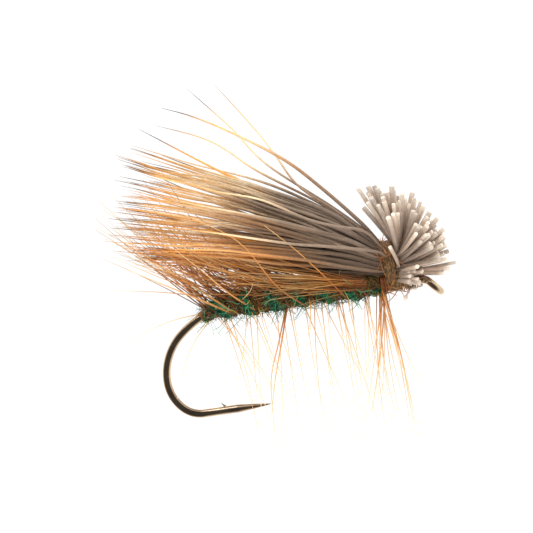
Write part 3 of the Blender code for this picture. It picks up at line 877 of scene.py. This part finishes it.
def wing_branches(side, height, lengths):
    """Hairs from the tie to their tips, each with its own drift."""
    count = len(side)
    steep = np.radians(WING_START_RISE[0] + WING_START_RISE[1] * height)
    flat = np.radians(WING_END_RISE[0] + WING_END_RISE[1] * height)
    spread = np.radians(WING_SPREAD) * side
    t = np.linspace(0.0, 1.0, WING_POINTS)
    distance = t[None] ** 1.2 * lengths[:, None]
    middle = 0.5 * (distance[:, 1:] + distance[:, :-1])
    rise = flat[:, None] + (steep - flat)[:, None] * np.exp(-middle / WING_CURVE_LENGTH)
    rise = rise * np.minimum(1.0, 0.45 + middle)
    away = np.minimum(1.0, middle / 2.0)
    waves = CHANCE.normal(0.0, 1.0, (4, count, 1))
    starts = CHANCE.uniform(0.0, 2.0 * math.pi, (4, count, 1))
    slow, quick = 0.45 * middle, 1.3 * middle
    rise_wave = 3.2 * waves[0] * np.sin(slow + starts[0]) + 2.8 * waves[1] * np.sin(quick + starts[1])
    yaw_wave = 3.0 * waves[2] * np.sin(slow + starts[2]) + 2.0 * waves[3] * np.sin(quick + starts[3])
    rise = rise + away * np.radians(rise_wave)
    yaw = spread[:, None] + away * np.radians(yaw_wave)
    step = np.diff(distance, axis=1)
    level = np.cos(rise)
    heading = np.stack([-level * np.cos(yaw), level * np.sin(yaw), np.sin(rise)], axis=-1)
    moved = np.cumsum(step[..., None] * heading, axis=1)
    start = tie_place(TIE_REAR_X, side, height)[:, None]
    return np.concatenate([start, start + moved], axis=1)


def tie_place(x, side, height):
    """Places in the tied bundle at x."""
    across = BUNDLE_RADIUS * side
    return np.stack([np.full(len(side), x), across, BUNDLE_Z + BUNDLE_RADIUS * height], axis=-1)


def butt_branches(side, height, lengths):
    """The cut butts, which flare up and out over the head in front of the thread."""
    count = len(side)
    flank = np.clip((np.abs(side) - 0.45) / 0.55, 0.0, 1.0)
    flank_lift = np.where(height < 0.2, -22.0, 26.0) * flank
    lift = 62.0 + 60.0 * height + flank_lift + CHANCE.normal(0.0, 7.0, count)
    spread = (46.0 + 20.0 * flank) * side + CHANCE.normal(0.0, 6.0, count)
    lift, spread = np.radians(lift), np.radians(spread)
    start = tie_place(TIE_FRONT_X, side, height)
    direction = np.stack(
        [np.cos(lift) * np.cos(spread), np.sin(spread), np.sin(lift) * np.cos(spread)], axis=-1
    )
    knee = start + (0.3 - 0.12 * height)[:, None] * np.array([1.0, 0.0, 0.0])
    end = knee + direction * lengths[:, None]
    t = np.linspace(0.0, 1.0, BUTT_POINTS)[None, :, None] ** 1.3
    first = start[:, None] + (knee - start)[:, None] * t
    second = knee[:, None] + (end - knee)[:, None] * t
    return first + (second - first) * t


def wing_profile():
    """Radii of a hair from its cut to its tip, and the share of its length (0 to 1) at each."""
    wing_t = np.linspace(0.0, 1.0, WING_POINTS) ** 1.2
    butt_t = np.linspace(0.0, 1.0, BUTT_POINTS) ** 1.3
    wing_places = (0.0, 0.05, 0.15, 0.45, 0.62, 0.88, 1.0)
    wing_radii = np.interp(wing_t, wing_places, (0.06, 0.085, 0.1, 0.086, 0.052, 0.028, 0.006))
    butt_radii = np.interp(butt_t, (0.0, 0.1, 0.4, 1.0), (0.065, 0.08, 0.108, 0.118))
    radii = np.concatenate([butt_radii[::-1], wing_radii])
    along = np.concatenate([TIE_SHARE * (1.0 - butt_t[::-1]), TIE_SHARE + (1.0 - TIE_SHARE) * wing_t])
    return radii, along


def gather_tips(wing, side, height):
    """Draws the hairs together into a few clumps towards their tips, with gaps between."""
    leaders = CHANCE.choice(WING_HAIRS, TIP_CLUMPS, replace=False)
    gap = np.hypot(side[:, None] - side[leaders], height[:, None] - height[leaders])
    leader = leaders[np.argmin(gap, axis=1)]
    t = np.linspace(0.0, 1.0, WING_POINTS)
    pull = TIP_GATHER * np.clip((t - 0.25) / 0.55, 0.0, 1.0)
    return wing + pull[None, :, None] * (wing[leader] - wing)


def make_wing(material):
    """The elk hairs, each one from its cut butt through the tie to its tip, in locks by height."""
    side, height = bundle_places(WING_HAIRS)
    aim_side = side + CHANCE.normal(0.0, 0.18, WING_HAIRS)
    aim_height = np.clip(height + CHANCE.normal(0.0, 0.17, WING_HAIRS), -1.05, 1.05)
    wing_lengths = WING_LENGTH + 0.9 - CHANCE.gamma(1.8, 0.95, WING_HAIRS)
    butt_lengths = BUTT_LENGTH + 0.5 * height + CHANCE.normal(0.0, 0.22, WING_HAIRS)
    wing = wing_branches(aim_side, aim_height, wing_lengths)
    wing += (tie_place(TIE_REAR_X, side, height) - wing[:, 0])[:, None]
    wing = gather_tips(wing, side, height)
    paths = np.concatenate([butt_branches(side, height, butt_lengths)[:, ::-1], wing], axis=1)

    profile, along = wing_profile()
    radii = profile[None] * CHANCE.uniform(0.7, 1.15, WING_HAIRS)[:, None]
    late = np.clip((along - 0.3) / 0.3, 0.0, 1.0)
    shift = CHANCE.normal(0.0, 0.04, WING_HAIRS) - 0.08 * np.exp(-(height / 0.5) ** 2)
    shifted = along[None] + shift[:, None] * (late * np.clip(4.0 * (1.0 - along), 0.0, 1.0))[None]
    tint = 0.22 - 0.85 * height + CHANCE.normal(0.0, 0.22, WING_HAIRS)
    dark_tip = CHANCE.uniform(0.0, 1.0, WING_HAIRS) < 0.45
    dark = dark_tip * CHANCE.uniform(0.6, 1.0, WING_HAIRS)
    shade = CHANCE.normal(0.92, 0.15, WING_HAIRS)
    bright = CHANCE.uniform(0.0, 1.0, WING_HAIRS) < 0.09
    values = {
        "along": np.clip(shifted, 0.0, 1.0),
        "tint": np.clip(tint, 0.0, 1.0),
        "dark": dark,
        "shade": np.clip(shade + 0.3 * bright, 0.65, 1.4),
    }
    nodes = sorted(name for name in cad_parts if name.startswith("wing_hair_"))
    order = np.argsort(height)
    for lock in range(LOCKS):
        members = order[lock * WING_HAIRS // LOCKS:(lock + 1) * WING_HAIRS // LOCKS]
        chosen = {key: value[members] for key, value in values.items()}
        group = (paths[members], radii[members], 8, chosen)
        piece = fibre_piece(f"elk_hair_lock_{lock + 1:02d}", [group], material)
        settle(piece, "hair", *nodes[lock::LOCKS])


# Points from tie to tip, radius, tint, darkness of the tip
STRAY_HAIRS = (
    (((-2.4, -0.1, 2.45), (-3.1, -0.15, 3.43), (-4.73, -0.2, 5.3), (-6.6, -0.3, 7.15), (-9.04, -0.4, 8.82),
      (-10.93, -0.5, 9.89), (-12.4, -0.5, 10.5)), 0.1, 0.35, 1.0),
    (((-2.4, 0.2, 2.35), (-3.1, 0.2, 3.2), (-4.6, 0.3, 4.6), (-6.96, 0.4, 6.54), (-8.02, 0.5, 7.63),
      (-9.02, 0.5, 9.05), (-10.98, 0.5, 11.3)), 0.07, 0.0, 1.0),
    (((-2.4, -0.2, 2.3), (-3.1, -0.2, 3.1), (-4.5, -0.3, 4.4), (-6.1, -0.3, 5.8), (-7.06, -0.3, 7.5),
      (-7.9, -0.2, 8.9), (-9.65, -0.2, 11.4)), 0.065, 0.2, 0.4),
    (((-2.4, 0.4, 2.2), (-3.2, 0.4, 3.0), (-5.0, 0.5, 4.7), (-7.97, 0.6, 6.75), (-9.52, 0.7, 8.1),
      (-10.7, 0.8, 8.85), (-12.8, 0.9, 9.7)), 0.075, 0.1, 0.7),
    (((-2.4, -0.3, 2.2), (-3.3, -0.35, 2.95), (-5.0, -0.5, 4.1), (-6.9, -0.7, 5.2), (-8.83, -0.9, 6.3),
      (-10.75, -1.0, 7.58), (-13.6, -1.1, 9.57)), 0.095, 0.9, 1.0),
    (((-2.4, -0.5, 2.1), (-3.4, -0.6, 2.75), (-5.2, -0.7, 3.85), (-7.2, -0.8, 5.1), (-9.0, -0.8, 6.5),
      (-9.9, -0.8, 7.0), (-11.0, -0.8, 7.7)), 0.07, 0.5, 1.0),
    (((-2.2, -0.9, 1.75), (-2.65, -1.2, 2.04), (-4.9, -1.9, 2.56), (-6.6, -2.2, 2.89), (-8.28, -2.4, 3.34),
      (-10.3, -2.6, 3.9), (-13.0, -2.8, 4.6)), 0.085, 0.0, 0.0),
    (((-2.2, -0.8, 2.0), (-3.09, -1.25, 3.1), (-4.4, -1.6, 3.5), (-5.87, -1.8, 4.07), (-8.01, -2.0, 5.3),
      (-10.2, -2.2, 6.0), (-12.4, -2.4, 6.9)), 0.08, 0.0, 0.3),
)


def make_stray_hairs(material):
    """The few wing hairs that stand apart above the rest."""
    count = len(STRAY_HAIRS)
    paths = np.stack([catmull_rom(points, STRAY_POINTS) for points, _, _, _ in STRAY_HAIRS])
    t = np.linspace(0.0, 1.0, STRAY_POINTS)[None]
    profile = np.interp(t, [0.0, 0.1, 0.5, 0.85, 1.0], [0.65, 1.0, 0.8, 0.35, 0.06])
    radii = np.array([radius for _, radius, _, _ in STRAY_HAIRS])[:, None] * profile
    values = {
        "along": np.broadcast_to(TIE_SHARE + (1.0 - TIE_SHARE) * t, radii.shape),
        "tint": np.array([tint for _, _, tint, _ in STRAY_HAIRS]),
        "dark": np.array([dark for _, _, _, dark in STRAY_HAIRS]),
        "shade": np.full(count, 1.12),
    }
    piece = fibre_piece("elk_hair_strays", [(paths, radii, 8, values)], material)
    settle(piece, "hair", "wing_hair_43", "wing_hair_35")


# Two cut butts that stand out on the right of the head
PLACED_STUBS = (
    ((-1.6, -1.02, 1.12), (-1.72, -1.2, 1.6), (-1.95, -1.4, 2.2)),
    ((-1.5, -0.7, 0.95), (-1.0, -1.05, 1.0), (-0.7, -1.55, 1.03)),
)


def make_trimmed_stubs(material):
    """Butts that were cut short at the sides of the head, over the thread."""
    count = SHORT_STUBS
    angle = np.pi + CHANCE.uniform(-1.9, 1.9, count)
    outward = np.stack([np.zeros(count), np.sin(angle), np.cos(angle)], axis=1)
    forward = CHANCE.uniform(-0.1, 0.25, count)[:, None] * [1.0, 0.0, 0.0]
    starts = np.array([TIE_FRONT_X, 0.0, 0.0]) + forward
    starts = starts + outward * 0.42 + np.array([0.0, 0.0, 0.72])
    starts[:, 2] = np.maximum(starts[:, 2], 0.2)
    scatter = CHANCE.normal(0.0, 0.16, (count, 3))
    flare = outward * CHANCE.uniform(0.1, 0.7, count)[:, None]
    heading = unit(np.array([1.0, 0.0, 0.05]) + flare + scatter)
    lengths = CHANCE.uniform(0.4, 1.2, count)
    t = np.linspace(0.0, 1.0, STUB_POINTS)
    paths = starts[:, None] + heading[:, None] * lengths[:, None, None] * t[None, :, None]
    placed = np.stack([catmull_rom(points, STUB_POINTS) for points in PLACED_STUBS])
    paths = np.concatenate([paths, placed])
    count = len(paths)
    profile = np.interp(t, (0.0, 0.3, 1.0), (0.6, 1.0, 1.05))
    radii = CHANCE.uniform(0.085, 0.125, count)[:, None] * profile[None]
    values = {
        # The roots reach along 0.12, so they take the hair's painted shade near the thread.
        "along": np.repeat((0.12 * (1.0 - t))[None], count, axis=0),
        "tint": CHANCE.uniform(0.0, 0.6, count),
        "dark": np.zeros(count),
        "shade": np.clip(CHANCE.normal(0.92, 0.15, count), 0.65, 1.2),
    }
    values["shade"][-len(PLACED_STUBS):] = 1.2
    piece = fibre_piece("trimmed_stubs", [(paths, radii, 8, values)], material)
    settle(piece, "hair", "wing_hair_46")


TRIMMED_END = ((-1.15, -0.1, 0.0), (-1.32, -0.16, -0.24), (-1.44, -0.2, -0.4), (-1.5, -0.22, -0.52))


def make_trimmed_end(material):
    """The loose end under the head, with a knob near its tip."""
    count = 14
    line = catmull_rom(TRIMMED_END, count)
    t = np.linspace(0.0, 1.0, count)
    radii = 0.045 + 0.075 * np.exp(-((t - 0.85) / 0.13) ** 2)
    values = {
        "along": np.linspace(0.05, 0.01, count)[None],
        "tint": np.array([0.3]),
        "dark": np.zeros(1),
        "shade": np.full(1, 1.1),
    }
    piece = fibre_piece("trimmed_butt_end", [(line[None], radii[None], 8, values)], material)
    settle(piece, "hair", "trimmed_fibre_end")


# ---- stage ----

FLOOR_Z = -16.0
FLOOR_SIZE_M = 3.0
WORLD_STRENGTH = 1.06
BRIGHT_SIDE = (0.5, 1.0, 0.35)
REFLECTED_WHITE = (1.0, 0.96, 0.88, 1.0)
REFLECTED_STRENGTH = (0.1, 1.7)
KEY_PLACE = (-30.0, -45.0, 60.0)
KEY_AIM = (-7.0, 0.0, 2.0)
KEY_SIZE = 35.0
KEY_WATTS = 0.018
VIEW_CENTRE = (-8.16, 1.98)
VIEW_WIDTH = 26.65
VIEW_DISTANCE = 320.0
VIEW_ROLL = math.radians(-7.25)
SENSOR_WIDTH = 36.0


def make_stage():
    """A white floor well below the fly."""
    material, _, shader = new_material("pale_floor", 0.9)
    shader.inputs["Base Color"].default_value = (1.0, 1.0, 1.0, 1.0)
    bpy.ops.mesh.primitive_plane_add(size=FLOOR_SIZE_M, location=(0.0, 0.0, FLOOR_Z * MM))
    floor = bpy.context.object
    floor.name = "floor"
    floor.data.materials.append(material)
    floor.visible_glossy = False


def make_world():
    """White surroundings, darker in mirror reflections from the fly's right, rear and underside."""
    world = bpy.data.worlds.new("studio")
    bpy.context.scene.world = world
    world.use_nodes = True
    tree = world.node_tree
    tree.nodes.clear()
    output = tree.nodes.new("ShaderNodeOutputWorld")
    white = tree.nodes.new("ShaderNodeBackground")
    white.inputs["Color"].default_value = (1.0, 1.0, 1.0, 1.0)
    white.inputs["Strength"].default_value = WORLD_STRENGTH
    mirrored = tree.nodes.new("ShaderNodeBackground")
    mirrored.inputs["Color"].default_value = REFLECTED_WHITE
    place = tree.nodes.new("ShaderNodeTexCoord")
    facing = tree.nodes.new("ShaderNodeVectorMath")
    facing.operation = "DOT_PRODUCT"
    facing.inputs[1].default_value = BRIGHT_SIDE
    tree.links.new(place.outputs["Generated"], facing.inputs[0])
    shade = remap(tree, facing.outputs["Value"], -0.8, -0.1, *REFLECTED_STRENGTH)
    tree.links.new(shade, mirrored.inputs["Strength"])
    path = tree.nodes.new("ShaderNodeLightPath")
    chosen = tree.nodes.new("ShaderNodeMixShader")
    tree.links.new(path.outputs["Is Glossy Ray"], chosen.inputs["Fac"])
    tree.links.new(white.outputs["Background"], chosen.inputs[1])
    tree.links.new(mirrored.outputs["Background"], chosen.inputs[2])
    tree.links.new(chosen.outputs["Shader"], output.inputs["Surface"])


def make_light():
    """A soft square light from above on the fly's right."""
    lamp = bpy.data.lights.new("key", "AREA")
    lamp.size = KEY_SIZE * MM
    lamp.energy = KEY_WATTS
    light = bpy.data.objects.new("key", lamp)
    light.location = np.array(KEY_PLACE) * MM
    light.rotation_euler = look_rotation(np.array(KEY_AIM) - np.array(KEY_PLACE))
    bpy.context.scene.collection.objects.link(light)


def look_rotation(direction, roll=0.0):
    """Rotation of a camera or light that looks along direction, +Z up, rolled about its own axis."""
    turn = Vector(direction).to_track_quat("-Z", "Y").to_matrix().to_4x4()
    return (turn @ Matrix.Rotation(roll, 4, "Z")).to_euler()


def make_camera():
    """A long lens from the fly's right side, rolled so that the shank climbs towards the eye."""
    lens = bpy.data.cameras.new("camera")
    lens.sensor_width = SENSOR_WIDTH
    lens.lens = SENSOR_WIDTH * VIEW_DISTANCE / VIEW_WIDTH
    lens.clip_start = 0.01
    lens.clip_end = 10.0
    camera = bpy.data.objects.new("camera", lens)
    camera.location = (VIEW_CENTRE[0] * MM, -VIEW_DISTANCE * MM, VIEW_CENTRE[1] * MM)
    camera.rotation_euler = look_rotation((0.0, 1.0, 0.0), VIEW_ROLL)
    bpy.context.scene.collection.objects.link(camera)
    bpy.context.scene.camera = camera


def main():
    hair = hair_material()
    hackle = hackle_material()
    thread = thread_material()
    make_hook(wire_material())
    make_thread_base(thread)
    make_dubbing(dubbing_material())
    make_dubbing_fur(fuzz_material())
    make_head_wraps(thread)
    make_tie_wraps(thread)
    make_quill(hackle)
    make_barbs(hackle)
    make_lashed_barbs(hackle)
    make_quill_end(hackle)
    make_wing(hair)
    make_stray_hairs(hair)
    make_trimmed_stubs(hair)
    make_trimmed_end(hair)
    make_stage()
    make_world()
    make_light()
    make_camera()


main()

bpy.context.scene.view_settings.view_transform = "Standard"
